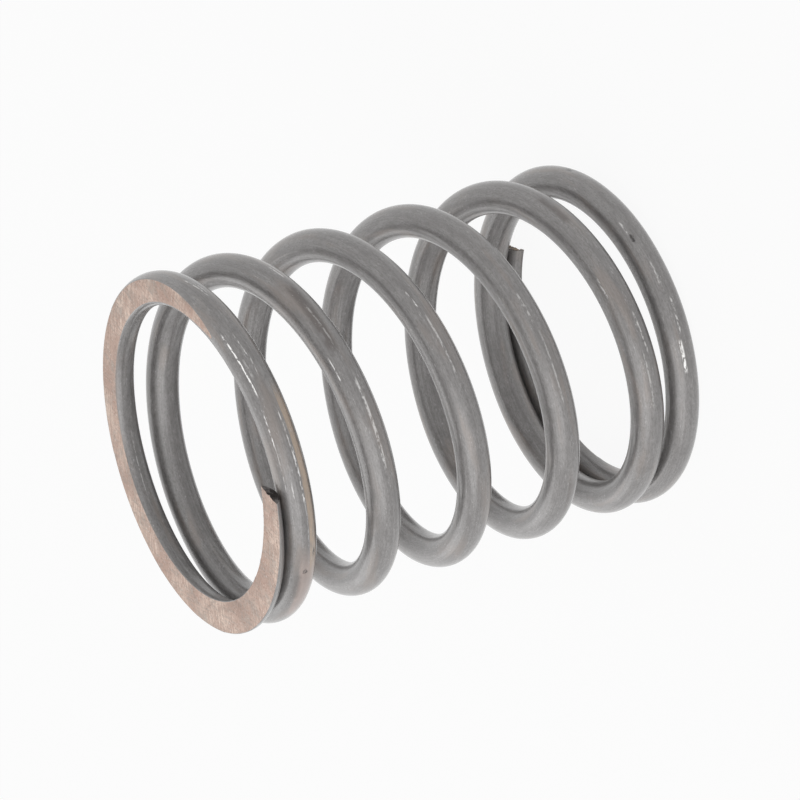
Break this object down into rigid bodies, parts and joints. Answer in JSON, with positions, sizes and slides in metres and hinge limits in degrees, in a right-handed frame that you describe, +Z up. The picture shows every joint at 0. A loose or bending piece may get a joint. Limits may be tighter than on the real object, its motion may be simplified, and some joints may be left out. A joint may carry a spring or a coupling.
{
  "type": "lock spring",
  "caption": "Helical compression spring of round steel wire with closed, flat-ground ends, which pushes the parts of a lock mechanism apart.",
  "frame": {"origin": "on the coil's axis, at the lower ground face", "axes": "+Z up along the coil's axis, and +X to the raw end of the wire at the lower ground face"},
  "size_m": [0.0324, 0.0324, 0.0433],
  "materials": {
    "spring_wire": "cold drawn wire, satin grey, with ground ends"
  },
  "bodies": {
    "root": {"spring": "spring_wire"}
  },
  "joints": []
}
